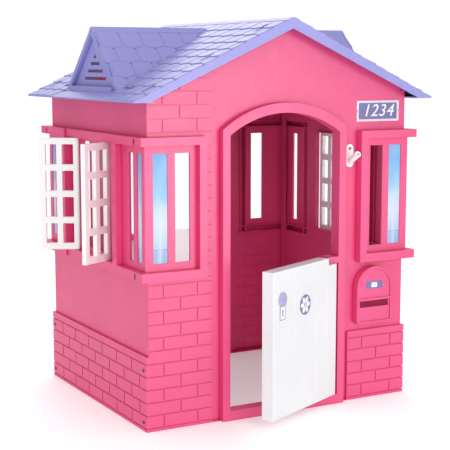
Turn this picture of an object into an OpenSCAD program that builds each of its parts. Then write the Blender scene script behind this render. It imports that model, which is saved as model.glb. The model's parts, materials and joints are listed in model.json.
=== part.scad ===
// Plastic playhouse: four moulded walls, a two-piece roof with dormers, two half
// doors and four window shutters.
// Frame: X runs right along the front wall, Y runs into the house, Z is up.
// The origin is on the ground at the middle of the front doorway's threshold.

/* [House] */
// Width over the brick panels of the side walls
house_w = 900; // [880:5:940]
// Depth over the brick panels of the front and back walls
house_d = 730; // [710:5:760]
// Height of the main ridge
ridge_h = 1171; // [1165:1:1185]
// Pitch of the main roof in degrees
main_pitch = 25; // [24.8:0.1:25.2]
// Height of the brick panels round the bottom
plinth_h = 218; // [200:1:230]

/* [Doorways] */
// Clear width between the jambs
door_w = 375; // [365:1:380]
// Height at which the arch springs from the jambs
arch_spring = 835; // [820:1:840]
// Rise of the arch above its springing
arch_rise = 61; // [50:1:62]
// How far the doorway surround stands out from the brick faces
surround_proud = 15; // [12:1:18]

/* [Half doors] */
// Thickness of a half door
door_t = 38; // [34:1:38]
// Length from the hinge axis to the free edge
door_len = 348; // [335:1:348]
// Height of the top of a half door
door_top = 460; // [450:1:465]
// Angle that the front door stands open at rest
front_door_open = 26; // [0:1:90]

/* [Shutters] */
// Length from the hinge axis to the free edge
shutter_len = 115; // [108:1:115]
// Thickness of a shutter
shutter_t = 14; // [12:1:14]
// Angle that the left shutters stand open at rest
left_shutter_open = 120; // [0:5:150]

/* [Flag holder] */
// Radius of the bore that takes a toy flag's pole
flag_bore_r = 5.5; // [4:0.1:6]
// Depth of that bore
flag_bore_depth = 40; // [30:1:42]

/* [Hidden] */
$fn = 48;

pink = "hotpink";
lavender = "mediumpurple";
hw = house_w / 2;
mid_y = house_d / 2;

// Wall skins
skin = 3.6;
plain_y = 8;               // the plain walls stand this far behind the brick faces
back_y = plain_y + skin;
edge = hw - plain_y;       // half width over the plain part of the walls
return_len = 36;           // how far the front and back walls wrap round a corner
wrap_len = 18;             // the same, at the corner windows
foot_len = 30;             // inward foot flange
slack = 1;                 // overshoot of cutting tools

// Bricks
brick_l = 108;
course_h = 37.4;
course_0 = 10;
plinth_courses = 5;
groove_w = 4.4;
groove_d = 2.2;
rib_w = 3.6;               // mortar shows as ribs on the inside
rib_h = 1.3;
upper_course_0 = 849;
pilaster_x = hw - 210;     // inner edge of the full-height brick panel
panel_x = 234;             // inner edge of the low brick panel beside the door

// Corner windows
head_z0 = 812;
head_z1 = 836;
sill_z0 = 434;
sill_z1 = 460;
trim_proud = 20;
frame_t = 6;
trim_in = 162;             // distance of the trim's inner edge from the corner
trim_out = 186;
side_trim_in = 154;
side_trim_out = 182;
slot_z0 = 482;
slot_z1 = 790;
blind_slot = [25, 70];     // from the corner, along the front and back walls
open_slot = [93.5, 140];
side_blind_slot = [22, 50];
side_open_slot = [76, 103];
blind_d = 3;

// Middle windows and shutters
mid_head_proud = 14;
window_hw = 115;
window_z0 = 470;
window_z1 = 802;
shutter_z0 = sill_z1 + 2;
shutter_z1 = head_z0 - 2;
shutter_axis_out = 5;      // hinge axis in front of the brick face plane
shutter_axis_dy = shutter_len + 2;
shutter_peg_r = 3.5;
shutter_peg_len = 6;
running_gap = 0.08;
pane_cols = 2;
pane_rows = 4;
stile_w = 18;
rail_w = 20;

// Door hinges
jamb_back = 27;            // the doorway's jambs reach this far into the house
surround_w = 24;
threshold_h = 30;
rib_hw = 8;
hinge_x = door_w / 2 - door_t / 2 - 2.5;
hinge_y = -3.5;
door_z0 = threshold_h + 2;
stile_top = door_top - 22;
plank_lines = [116, 232, 294]; // from the free edge
plank_groove = 1.8;
stile_step = 42;           // the raised part of the door ends this far from the axis
door_peg_r = 8;
door_peg_up = 12;
door_peg_down = 14;
block_z0 = stile_top + 1.5;
block_z1 = block_z0 + 19;
block_reach = 14;          // hinge block, measured from the hinge axis

// Roof
slope = tan(main_pitch);
eave_x = 503;
eave_z = 932;
fascia_in_x = 458;
fascia_h = 34;
verge = 48;                // overhang past the front and back brick faces
fascia_t = 6;
tile_t = 3;
roof_skin = 3.6;
cap_hw = 24;
roof_courses = 11;
soffit_x = hw - 4;
soffit_t = 4;
ceiling_drop = tile_t + roof_skin;
dormer_z = 1146;
dormer_slope = 0.96;
dormer_x = 452;
dormer_face_x = 439;
dormer_course = 44.8;
dormer_cap = 14.6;
dormer_courses = 5;
dormer_band = 22;
dormer_shell = 11;
ledge_z = 970;
ledge_x = 459;
ledge_hw = 160;

// Roof fastening slots and the wall flanges below them
clip_len = 42;
clip_w = 12;
gable_clip_x = [72, 250, 430];
gable_clip_y = 9;
gable_flange = 30;
eave_clip_x = 432;
eave_clip_y = 134;
eave_clip_len = 60;
eave_flange = 24;

// Screws
screw_r = 2;
screw_hole_r = 2.1;
head_r = 4;
head_h = 2.5;
low_screw_z = [26, 177];
low_screw_y = 19;
high_screw_z = [447, 824];
high_screw_y = 27;
recess_t = 2.6;            // long recess round the head of a high screw
recess_half = 4;
lap_t = 4;

// Mailbox
mail_x0 = 256;
mail_x1 = 388;
mail_z0 = 240;
mail_spring = 352;
mail_proud = 19;
mail_rim = 7;
mail_corner = 14;
mail_rim_h = 3;
mail_slot = [268, 375, 291, 311];

// Stickers
sticker_t = 0.4;

function nominal(x) = ridge_h - slope * x;
function ceiling(x) = ridge_h - ceiling_drop - slope * abs(x);
function dormer_top(y) = dormer_z - dormer_slope * abs(y);

// ---------- helpers ----------

// Extrudes an XZ outline between two Y planes
module slab(y0, y1) {
    translate([0, y1, 0])
        rotate([90, 0, 0])
            linear_extrude(y1 - y0)
                children();
}

// A box given by its lowest and highest corners
module block(lo, hi) {
    translate(lo)
        cube(hi - lo);
}

module rect(x0, x1, z0, z1) {
    translate([x0, z0])
        square([x1 - x0, z1 - z0]);
}

// Copies the children to both sides of the YZ plane
module both_sides() {
    children();
    mirror([1, 0, 0])
        children();
}

module at_back() {
    translate([0, house_d, 0])
        rotate([0, 0, 180])
            children();
}

module at_left() {
    translate([-hw, mid_y, 0])
        rotate([0, 0, -90])
            children();
}

module at_right() {
    translate([hw, mid_y, 0])
        rotate([0, 0, 90])
            children();
}

// Outline of a gable wall up to the underside of the roof
module gable_2d(half_w) {
    intersection() {
        polygon([[-eave_x, 0], [eave_x, 0], [eave_x, ceiling(eave_x)], [0, ceiling(0)],
            [-eave_x, ceiling(eave_x)]]);
        rect(-half_w, half_w, 0, ridge_h);
    }
}

// Mortar lines of running-bond brickwork from x0 to x1 and up from z0; the bond is
// counted from a corner that lies the distance back before x0
module mortar_2d(x0, x1, z0, courses, line_w, back = 0) {
    for (i = [0 : courses])
        rect(x0, x1, z0 + i * course_h - line_w / 2, z0 + i * course_h + line_w / 2);
    for (i = [0 : courses - 1])
        for (x = [x0 - back + brick_l * (i % 2 == 0 ? 0.5 : 1) : brick_l : x1 - 8])
            rect(x - line_w / 2, x + line_w / 2, z0 + i * course_h, z0 + (i + 1) * course_h);
}

// Round-arched opening: half width, springing height and rise
module arch_2d(half_w, spring, rise, foot = 0) {
    r = (half_w * half_w + rise * rise) / (2 * rise);
    lap = rise / 4;
    rect(-half_w, half_w, foot, spring - lap);
    intersection() {
        translate([0, spring + rise - r])
            circle(r, $fn = 180);
        rect(-half_w, half_w, spring - 2 * lap, spring + rise + slack);
    }
}

// Recess round a screw's head: a round-ended slot that reaches up and down from the screw
module long_recess_2d(up, down) {
    rect(-head_r - 1, head_r + 1, -down, up);
    for (z = [-down, up])
        translate([0, z])
            circle(head_r + 1);
}

// Plate with a semicircular top and eased lower corners
module round_top_2d(half_w, spring, foot, corner) {
    translate([0, spring])
        circle(half_w);
    rect(-half_w, half_w, foot + corner, spring);
    rect(-half_w + corner, half_w - corner, foot, foot + 2 * corner);
    both_sides()
        translate([half_w - corner, foot + corner])
            circle(corner);
}

// ---------- walls ----------

// Box-section bar that is open at the back, like a moulded rib
module hollow_bar(lo, hi, open_end = 0) {
    difference() {
        block(lo, hi);
        block(lo + [skin, skin, skin], [hi[0] - skin + open_end, hi[1] + slack, hi[2] - skin]);
    }
}

// Window with a blind slot and an open slot; the corner is at x = 0 and x grows
// away from it
module window_face(inner, outer, blind, open, start) {
    difference() {
        slab(0, frame_t)
            rect(start, inner + skin, sill_z1 - skin, head_z0 + skin);
        slab(-slack, frame_t + slack)
            rect(open[0], open[1], slot_z0, slot_z1);
        slab(-slack, blind_d)
            rect(blind[0], blind[1], slot_z0, slot_z1);
    }
    difference() {
        block([inner, -trim_proud, sill_z0], [outer, back_y, head_z1]);
        block([inner + skin, -trim_proud + skin, sill_z0 + skin],
            [outer - skin, back_y + slack, head_z1 - skin]);
    }
}

// Doorway surround, jambs and threshold
module doorway() {
    half_w = door_w / 2;
    outer_w = half_w + surround_w;
    difference() {
        slab(-surround_proud, jamb_back)
            arch_2d(outer_w, arch_spring + 16, arch_rise + 13);
        slab(-surround_proud + skin, jamb_back + slack)
            difference() {
                arch_2d(outer_w - skin, arch_spring + 16 - skin, arch_rise + 13, skin);
                arch_2d(half_w + skin, arch_spring + skin, arch_rise);
            }
        slab(-surround_proud - slack, jamb_back + slack)
            arch_2d(half_w, arch_spring, arch_rise, threshold_h);
        slab(back_y, jamb_back + slack)
            difference() {
                rect(-outer_w - slack, outer_w + slack, skin, arch_spring + 120);
                arch_2d(half_w + skin, arch_spring + skin, arch_rise);
            }
        // cells under the threshold, with a rib at its middle
        for (cell = [[-half_w, -rib_hw], [rib_hw, hinge_x - 2 * door_peg_r]])
            block([cell[0], -surround_proud + skin, -slack],
                [cell[1], jamb_back - skin, threshold_h - skin]);
        translate([hinge_x, hinge_y, threshold_h - door_peg_down])
            cylinder(h = door_peg_down + slack, r = door_peg_r + running_gap);
    }
    difference() {
        block([hinge_x - block_reach, -surround_proud, block_z0],
            [half_w + skin, jamb_back, block_z1]);
        translate([hinge_x, hinge_y, block_z0 - slack])
            cylinder(h = door_peg_up + slack, r = door_peg_r + running_gap);
    }
}

// Arch-topped mailbox moulded into the wall, with its slot
module mailbox() {
    mail_w = (mail_x1 - mail_x0) / 2;
    difference() {
        translate([(mail_x0 + mail_x1) / 2, 0, 0])
            difference() {
                slab(-mail_proud, back_y)
                    round_top_2d(mail_w, mail_spring, mail_z0, mail_corner);
                slab(-mail_proud - slack, -mail_proud + mail_rim_h)
                    round_top_2d(mail_w - mail_rim, mail_spring, mail_z0 + mail_rim,
                        mail_corner - mail_rim);
                slab(-mail_proud + mail_rim_h + skin, back_y + slack)
                    round_top_2d(mail_w - skin, mail_spring, mail_z0 + skin, mail_corner - skin);
            }
        slab(-mail_proud - slack, back_y)
            rect(mail_slot[0], mail_slot[1], mail_slot[2], mail_slot[3]);
    }
    // lip over the slot
    slab(-mail_proud, -mail_proud + mail_rim_h + slack)
        rect(mail_x0 + mail_rim, mail_x1 - mail_rim, mail_slot[3] + 2, mail_slot[3] + 8);
}

// Everything outside the rectangle-shaped faces of one corner of a gable wall;
// x = 0 is the corner and the wall runs to +x
module gable_corner(top_z, face_y) {
    // lower return, round the brick plinth
    block([0, 0, 0], [skin, return_len, plinth_h]);
    block([0, 0, plinth_h - skin], [plain_y + skin, return_len, plinth_h]);
    block([0, 0, 0], [foot_len, return_len, skin]);
    // plain returns below and above the window
    block([plain_y, face_y, plinth_h - skin], [plain_y + skin, return_len, sill_z0]);
    block([plain_y, face_y, head_z1], [plain_y + skin, return_len, top_z]);
    // window corner
    block([0, 0, sill_z1 - skin], [frame_t, wrap_len, head_z0 + skin]);
    for (z = [[sill_z0, sill_z1], [head_z0, head_z1]]) {
        difference() {
            union() {
                block([-trim_proud, -trim_proud, z[0]], [trim_out, back_y, z[1]]);
                block([-trim_proud, -trim_proud, z[0]], [plain_y + skin, wrap_len, z[1]]);
            }
            block([-trim_proud + skin, -trim_proud + skin, z[0] + skin],
                [trim_out - skin, back_y + slack, z[1] - skin]);
            block([-trim_proud + skin, -trim_proud + skin, z[0] + skin],
                [plain_y + skin + slack, wrap_len - skin, z[1] - skin]);
        }
        // tongue that the side wall's bar is screwed to
        block([-trim_proud + skin + 0.5, wrap_len - skin - 1, z[0] + skin + 1],
            [-trim_proud + 2 * skin + 0.5, wrap_len + 18, z[1] - skin - 1]);
    }
    window_face(trim_in, trim_out, blind_slot, open_slot, 0);
}

// Mortar lines of the full-height brick panel, below, beside and above the window
module pilaster_mortar_2d(line_w) {
    mortar_2d(-hw, -pilaster_x, course_0, 11, line_w);
    mortar_2d(-hw, -pilaster_x, upper_course_0, 5, line_w);
    for (z = [sill_z0 : course_h : head_z1])
        rect(-hw + trim_out, -pilaster_x, z - line_w / 2, z + line_w / 2);
}

// Gable wall of the front or the back, with its outer face towards -Y
module gable_wall(with_mailbox) {
    mail_w = (mail_x1 - mail_x0) / 2;
    difference() {
        union() {
            // plain skin
            slab(plain_y, back_y)
                difference() {
                    intersection() {
                        gable_2d(edge);
                        rect(-pilaster_x - skin, edge, 0, ridge_h);
                    }
                    rect(edge - trim_in + plain_y, hw, sill_z1, head_z0);
                    rect(panel_x + skin, hw, -slack, plinth_h - skin);
                    arch_2d(door_w / 2 + skin, arch_spring, arch_rise);
                    if (with_mailbox)
                        translate([(mail_x0 + mail_x1) / 2, 0])
                            round_top_2d(mail_w - skin, mail_spring, mail_z0 + skin,
                                mail_corner - skin);
                }
            // full-height brick face on the left
            slab(0, skin)
                difference() {
                    intersection() {
                        gable_2d(hw);
                        union() {
                            rect(-hw, -pilaster_x, 0, plinth_h);
                            rect(-edge, -pilaster_x, plinth_h - slack, ridge_h);
                        }
                    }
                    rect(-hw - slack, -hw + trim_out - skin, sill_z0 + skin, head_z1 - skin);
                }
            slab(0, back_y)
                intersection() {
                    gable_2d(edge);
                    rect(-pilaster_x - skin, -pilaster_x, 0, ridge_h);
                }
            // low brick panel on the right
            slab(0, skin)
                rect(panel_x, hw, 0, plinth_h);
            // mortar ribs inside
            slab(skin - slack, skin + rib_h)
                intersection() {
                    pilaster_mortar_2d(rib_w);
                    gable_2d(edge - 2 * skin);
                    rect(-hw, -pilaster_x - skin, skin, ridge_h);
                }
            mirror([1, 0, 0])
                slab(skin - slack, skin + rib_h)
                    mortar_2d(-edge + 2 * skin, -panel_x - skin, course_0, plinth_courses,
                        rib_w, hw - edge + 2 * skin);
            slab(0, back_y) {
                rect(panel_x, panel_x + skin, 0, plinth_h);
                rect(panel_x, hw, plinth_h - skin, plinth_h);
            }
            translate([-hw, 0, 0])
                gable_corner(ceiling(edge), 0);
            mirror([1, 0, 0])
                translate([-hw, 0, 0])
                    gable_corner(ceiling(edge), plain_y);
            // gable flange that carries the roof
            slab(0, gable_flange)
                difference() {
                    gable_2d(edge);
                    translate([0, -skin])
                        gable_2d(edge + slack);
                }
            // foot flanges on each side of the doorway
            both_sides()
                block([door_w / 2 + surround_w - skin, 0, 0], [hw - slack, foot_len, skin]);
            if (with_mailbox)
                mailbox();
        }
        // bricks
        slab(-slack, groove_d)
            intersection() {
                pilaster_mortar_2d(groove_w);
                gable_2d(hw + slack);
            }
        // the courses carry on round the corners
        both_sides()
            for (i = [0 : plinth_courses])
                block([-hw - slack, -slack, course_0 + i * course_h - groove_w / 2],
                    [-hw + groove_d, return_len + slack, course_0 + i * course_h + groove_w / 2]);
        mirror([1, 0, 0])
            slab(-slack, groove_d)
                mortar_2d(-hw, -panel_x, course_0, plinth_courses, groove_w);
        // doorway
        slab(-slack, jamb_back + slack)
            arch_2d(door_w / 2, arch_spring, arch_rise, -slack);
        // clearance holes for the corner screws
        both_sides()
            for (z = low_screw_z)
                translate([-hw - slack, low_screw_y, z])
                    rotate([0, 90, 0])
                        cylinder(h = skin + 2 * slack, r = screw_hole_r);
        both_sides()
            for (z = high_screw_z)
                translate([-hw - trim_proud, high_screw_y, z])
                    rotate([0, 90, 0])
                        cylinder(h = 3 * skin, r = screw_hole_r);
        // clearance holes for the roof screws
        both_sides()
            for (x = gable_clip_x)
                translate([x, gable_clip_y, ceiling(x)])
                    rotate([0, main_pitch, 0])
                        cylinder(h = 6 * skin, r = screw_hole_r, center = true);
        if (with_mailbox)
            flag_holder_drill();
    }
    doorway();
}

// Side wall with two corner windows and a middle window; outer face towards -Y
module side_wall() {
    half_l = mid_y - return_len;
    win_l = mid_y - wrap_len;
    trim_l = mid_y - side_trim_out;
    lap_x = mid_y - back_y - 1;
    top_z = ceiling(edge) - skin - slack;
    difference() {
        union() {
            slab(plain_y, back_y)
                difference() {
                    rect(-half_l, half_l, plinth_h - skin, top_z);
                    rect(-window_hw, window_hw, window_z0, window_z1);
                    rect(-half_l - slack, -trim_l - skin, sill_z0 + skin, head_z1 - skin);
                    rect(trim_l + skin, half_l + slack, sill_z0 + skin, head_z1 - skin);
                }
            // brick plinth
            slab(0, skin)
                rect(-half_l, half_l, 0, plinth_h);
            slab(0, back_y)
                rect(-half_l, half_l, plinth_h - skin, plinth_h);
            slab(skin - slack, skin + rib_h)
                mortar_2d(-half_l + 2 * skin, half_l - 2 * skin, course_0, plinth_courses, rib_w,
                    2 * skin);
            block([-half_l, 0, 0], [half_l, foot_len, skin]);
            // lip round the middle window
            slab(plain_y, back_y + 12)
                difference() {
                    rect(-window_hw - skin, window_hw + skin, window_z0 - skin, window_z1 + skin);
                    rect(-window_hw, window_hw, window_z0, window_z1);
                }
            // middle header and sill
            for (z = [[sill_z0, sill_z1], [head_z0, head_z1]])
                hollow_bar([-trim_l - skin, -mid_head_proud, z[0]],
                    [trim_l + skin, back_y, z[1]]);
            // corner windows
            both_sides() {
                translate([-mid_y, 0, 0])
                    window_face(side_trim_in, side_trim_out, side_blind_slot, side_open_slot,
                        wrap_len);
                for (z = [[sill_z0, sill_z1], [head_z0, head_z1]])
                    difference() {
                        block([-win_l, -trim_proud, z[0]], [-trim_l, back_y, z[1]]);
                        block([-win_l - slack, -trim_proud + skin, z[0] + skin],
                            [-trim_l - skin, back_y + slack, z[1] - skin]);
                    }
                // lap flange inside the corner, with bosses for the low screws
                block([-lap_x, back_y, skin], [-half_l + skin, back_y + lap_t, top_z]);
                for (z = low_screw_z)
                    translate([-mid_y + low_screw_y, skin, z])
                        rotate([-90, 0, 0])
                            cylinder(h = back_y, r = 6);
            }
            // top flange that carries the roof
            rotate([90, 0, 90])
                linear_extrude(2 * half_l, center = true)
                    translate([hw, 0])
                        mirror([1, 0])
                            polygon([[edge, ceiling(edge)], [edge, top_z - slack],
                                [edge - skin, top_z - slack],
                                [edge - skin, ceiling(edge) - skin],
                                [edge - eave_flange, ceiling(edge - eave_flange) - skin],
                                [edge - eave_flange, ceiling(edge - eave_flange)]]);
        }
        slab(-slack, groove_d)
            mortar_2d(-half_l, half_l, course_0, plinth_courses, groove_w);
        // pegs of the shutters run in these holes
        for (s = [-1, 1])
            for (z = [sill_z1 - skin - slack, head_z0 - slack])
                translate([s * shutter_axis_dy, -shutter_axis_out, z])
                    cylinder(h = skin + 2 * slack, r = shutter_peg_r + running_gap);
        both_sides() {
            for (z = low_screw_z)
                translate([-mid_y + low_screw_y, 0, z])
                    rotate([-90, 0, 0])
                        cylinder(h = back_y + 2 * lap_t, r = screw_hole_r);
            for (z = high_screw_z) {
                translate([-mid_y + high_screw_y, -trim_proud - slack, z])
                    rotate([-90, 0, 0])
                        cylinder(h = skin + 2 * slack, r = screw_hole_r);
                translate([-mid_y + high_screw_y, 0, z])
                    slab(-trim_proud - slack, -trim_proud + recess_t)
                        long_recess_2d(recess_half, recess_half);
            }
            translate([-mid_y + eave_clip_y, hw - eave_clip_x, ceiling(eave_clip_x)])
                rotate([main_pitch, 0, 0])
                    cylinder(h = 6 * skin, r = screw_hole_r, center = true);
        }
    }
}

module front_wall() {
    color(pink)
        gable_wall(true);
}

module back_wall() {
    color(pink)
        at_back()
            gable_wall(false);
}

module left_wall() {
    color(pink)
        at_left()
            side_wall();
}

module right_wall() {
    color(pink)
        at_right()
            side_wall();
}

// ---------- roof ----------

// Saw-tooth top line of the main slope, from the eave up to the ridge cap
course_w = (eave_x - cap_hw) / roof_courses;
slope_line = [for (i = [0 : roof_courses - 1]) each [
    [eave_x - i * course_w, nominal(eave_x - i * course_w)],
    [eave_x - (i + 1) * course_w, nominal(eave_x - (i + 1) * course_w) - tile_t]]];

// Saw-tooth line of one dormer slope, from its foot up to its cap
dormer_line = [for (i = [dormer_courses : -1 : 1]) each [
    [dormer_cap + i * dormer_course, dormer_top(dormer_cap + i * dormer_course)],
    [dormer_cap + (i - 1) * dormer_course,
        dormer_top(dormer_cap + (i - 1) * dormer_course) - tile_t]]];

module along_depth(y0, y1) {
    slab(y0, y1)
        children();
}

// Extrudes a YZ outline, centred on the dormer, between two X planes
module along_width(x0, x1) {
    translate([x0, mid_y, 0])
        rotate([90, 0, 90])
            linear_extrude(x1 - x0)
                children();
}

module dormer_inside_2d(drop) {
    top = dormer_z - drop;
    polygon([[0, top], [-(top - 900) / dormer_slope, 900], [(top - 900) / dormer_slope, 900]]);
}

module dormer_outside_2d() {
    polygon(concat(
        dormer_line,
        [[dormer_cap, dormer_top(dormer_cap)], [0, dormer_z], [-dormer_cap, dormer_top(dormer_cap)]],
        [for (i = [len(dormer_line) - 1 : -1 : 0]) [-dormer_line[i][0], dormer_line[i][1]]]));
}

// Four louvre slots that narrow towards the top
module louvres() {
    for (row = [[993, 82], [1015, 57], [1037, 34]])
        block([dormer_face_x - 20, mid_y - row[1], row[0] - 4.5],
            [dormer_face_x + slack, mid_y + row[1], row[0] + 4.5]);
    along_width(dormer_face_x - 20, dormer_face_x + slack)
        polygon([[-12, 1054], [12, 1054], [0, 1070]]);
}

// Half of the roof on the +X side
module roof_half(with_cap) {
    difference() {
        union() {
            difference() {
                union() {
                    // tiled skin with its flat soffit
                    along_depth(-verge, house_d + verge)
                        polygon(concat(
                            [[eave_x, eave_z]],
                            slope_line,
                            [[0, nominal(0) - tile_t], [0, ceiling(0)],
                                [(ridge_h - ceiling_drop - eave_z - soffit_t) / slope,
                                    eave_z + soffit_t],
                                [soffit_x, eave_z + soffit_t], [soffit_x, eave_z]]));
                    // dormer shell
                    difference() {
                        union() {
                            along_width(cap_hw, dormer_x)
                                dormer_outside_2d();
                            block([dormer_face_x - skin, mid_y - ledge_hw, eave_z + soffit_t],
                                [ledge_x, mid_y + ledge_hw, ledge_z]);
                        }
                        along_width(dormer_face_x, dormer_x + slack)
                            dormer_inside_2d(dormer_band);
                        along_depth(0, house_d)
                            polygon([[0, ceiling(0)], [480, ceiling(480)], [480, 850], [0, 850]]);
                    }
                }
                // the dormer is open to the room
                along_width(0, dormer_face_x - skin)
                    dormer_inside_2d(dormer_shell);
                louvres();
            }
            // fascias at the front and the back
            for (y = [-verge, house_d + verge - fascia_t])
                along_depth(y, y + fascia_t)
                    polygon([[0, ridge_h - fascia_h], [fascia_in_x, eave_z], [eave_x, eave_z],
                        [eave_x, nominal(eave_x) - tile_t], [0, nominal(0) - tile_t]]);
            if (with_cap)
                along_depth(-verge, house_d + verge)
                    polygon([[cap_hw + 1, nominal(cap_hw + 1) - tile_t - 1],
                        [cap_hw + 1, nominal(cap_hw + 1)], [6, nominal(6)], [-6, nominal(6)],
                        [-cap_hw, nominal(cap_hw)], [-cap_hw, nominal(cap_hw) - tile_t],
                        [0, nominal(0) - tile_t], [0, nominal(0) - tile_t - 1]]);
        }
        // fastening slots
        for (x = gable_clip_x)
            for (y = [gable_clip_y, house_d - gable_clip_y])
                block([x - clip_len / 2, y - clip_w / 2, ceiling(x) - 40],
                    [x + clip_len / 2, y + clip_w / 2, nominal(x) + 30]);
        for (y = [eave_clip_y, house_d - eave_clip_y])
            block([eave_clip_x - clip_w / 2, y - eave_clip_len / 2, ceiling(eave_clip_x) - 15],
                [eave_clip_x + clip_w / 2, y + eave_clip_len / 2, nominal(eave_clip_x) + 30]);
    }
}

module roof_left() {
    color(lavender)
        mirror([1, 0, 0])
            roof_half(true);
}

module roof_right() {
    color(lavender)
        roof_half(false);
}

// ---------- doors and shutters ----------

// Half door with its hinge axis at x = 0, y = 0; the leaf runs to -x
module half_door() {
    half_t = door_t / 2;
    wall = 3.5;
    difference() {
        union() {
            block([-door_len, -half_t, door_z0], [-stile_step, half_t, door_top]);
            block([-stile_step - slack, -half_t, door_z0], [0, half_t, stile_top]);
            translate([0, 0, door_z0])
                cylinder(h = stile_top - door_z0, r = half_t, $fn = 64);
            translate([0, 0, door_z0 - door_peg_down + 1])
                cylinder(h = stile_top - door_z0 + door_peg_down + door_peg_up - 2,
                    r = door_peg_r);
        }
        // hollow inside, vented at the bottom
        block([-door_len + wall, -half_t + wall, door_z0 + wall],
            [-stile_step - wall, half_t - wall, door_top - wall]);
        block([-stile_step - 2 * wall, -half_t + wall, door_z0 + wall],
            [-door_peg_r - wall, half_t - wall, stile_top - wall]);
        translate([-door_len / 2, 0, door_z0 - slack])
            cylinder(h = wall + 2 * slack, r = 3);
        // plank grooves
        for (x = plank_lines)
            for (s = [-1, 1])
                translate([x - door_len, s * half_t, door_z0 - slack])
                    rotate([0, 0, 45])
                        translate([-plank_groove / 2, -plank_groove / 2, 0])
                            cube([plank_groove, plank_groove, door_top]);
    }
}

// Shutter with its hinge axis at x = 0, y = 0; the leaf runs to +x
module shutter() {
    half_t = shutter_t / 2;
    inner_w = shutter_len - stile_w * 2 + half_t;
    pane_w = (inner_w - stile_w) / pane_cols;
    pane_h = (shutter_z1 - shutter_z0 - rail_w * (pane_rows + 1)) / pane_rows;
    difference() {
        union() {
            block([0, -half_t, shutter_z0], [shutter_len, half_t, shutter_z1]);
            translate([0, 0, shutter_z0])
                cylinder(h = shutter_z1 - shutter_z0, r = half_t);
            translate([0, 0, shutter_z0 - shutter_peg_len])
                cylinder(h = shutter_z1 - shutter_z0 + 2 * shutter_peg_len, r = shutter_peg_r);
        }
        for (c = [0 : pane_cols - 1])
            for (r = [0 : pane_rows - 1])
                translate([stile_w - half_t + c * (pane_w + stile_w), -half_t - slack,
                    shutter_z0 + rail_w + r * (pane_h + rail_w)])
                    cube([pane_w, shutter_t + 2 * slack, pane_h]);
    }
}

module front_door() {
    color("white")
        translate([hinge_x, hinge_y, 0])
            rotate([0, 0, front_door_open])
                half_door();
}

module back_door() {
    color("white")
        at_back()
            translate([hinge_x, hinge_y, 0])
                half_door();
}

// Places a shutter on a side wall: side is -1 for its left end seen from outside
module hung_shutter(side, open_angle) {
    translate([side * shutter_axis_dy, -shutter_axis_out, 0])
        mirror([side > 0 ? 1 : 0, 0, 0])
            rotate([0, 0, -open_angle])
                shutter();
}

module left_front_shutter() {
    color("white")
        at_left()
            hung_shutter(1, left_shutter_open);
}

module left_rear_shutter() {
    color("white")
        at_left()
            hung_shutter(-1, left_shutter_open);
}

module right_front_shutter() {
    color("white")
        at_right()
            hung_shutter(-1, 0);
}

module right_rear_shutter() {
    color("white")
        at_right()
            hung_shutter(1, 0);
}

// ---------- flag holder ----------

flag_x = 236.5;
flag_z0 = 726;
flag_z1 = 796;
flag_plate_w = 26;
flag_plate_t = 5;
flag_tube_r = 9.5;
flag_tube_len = 50;
flag_tube_z = 744;
flag_tube_lean = 60;        // from upright
flag_screw_z = 783;
flag_recess_d = 1.5;

// Screw hole through the holder's plate and the wall
module flag_holder_drill() {
    translate([flag_x, -slack, flag_screw_z])
        rotate([-90, 0, 0])
            cylinder(h = 20, r = screw_hole_r);
}

// Moves to the foot of the angled tube, with z along its axis
module flag_tube_frame() {
    translate([flag_x, plain_y - flag_plate_t, flag_tube_z])
        rotate([flag_tube_lean, 0, 0])
            children();
}

module flag_holder() {
    color("white")
        difference() {
            union() {
                slab(plain_y - flag_plate_t, plain_y) {
                    rect(flag_x - flag_plate_w / 2, flag_x + flag_plate_w / 2,
                        flag_z0 + flag_plate_w / 2, flag_z1 - flag_plate_w / 2);
                    translate([flag_x, flag_z0 + flag_plate_w / 2])
                        circle(flag_plate_w / 2);
                    translate([flag_x, flag_z1 - flag_plate_w / 2])
                        circle(flag_plate_w / 2);
                }
                difference() {
                    flag_tube_frame()
                        translate([0, 0, -10])
                            cylinder(h = flag_tube_len + 10, r = flag_tube_r);
                    block([0, plain_y, flag_z0 - 60], [2 * hw, 80, flag_z1 + 60]);
                }
            }
            flag_tube_frame()
                translate([0, 0, flag_tube_len - flag_bore_depth])
                    cylinder(h = flag_bore_depth + slack, r = flag_bore_r);
            // long recess round the screw's head
            translate([flag_x, 0, flag_screw_z])
                slab(-slack, plain_y - flag_plate_t + flag_recess_d)
                    long_recess_2d(2, 9);
            flag_holder_drill();
        }
}

// ---------- fasteners ----------

// Pan-head screw with its head's underside at the origin, pointing to -z
module screw(length) {
    difference() {
        union() {
            cylinder(h = head_h, r = head_r);
            translate([0, 0, -length])
                cylinder(h = length + slack, r = screw_r);
        }
        translate([-head_r, -0.5, head_h - 1])
            cube([2 * head_r, 1, 2]);
    }
}

module flag_holder_screw() {
    color("silver")
        translate([flag_x, plain_y - flag_plate_t + flag_recess_d, flag_screw_z])
            rotate([90, 0, 0])
                screw(14);
}

// The four screws of the front left corner
module corner_screws() {
    color("silver") {
        for (z = low_screw_z)
            translate([-hw, low_screw_y, z])
                rotate([0, -90, 0])
                    screw(18);
        for (z = high_screw_z)
            translate([-hw - trim_proud + recess_t, high_screw_y, z])
                rotate([0, -90, 0])
                    screw(12);
    }
}

module corner_screws_front_left() {
    corner_screws();
}

module corner_screws_front_right() {
    mirror([1, 0, 0])
        corner_screws();
}

module corner_screws_rear_left() {
    translate([0, house_d, 0])
        mirror([0, 1, 0])
            corner_screws();
}

module corner_screws_rear_right() {
    at_back()
        corner_screws();
}

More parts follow.
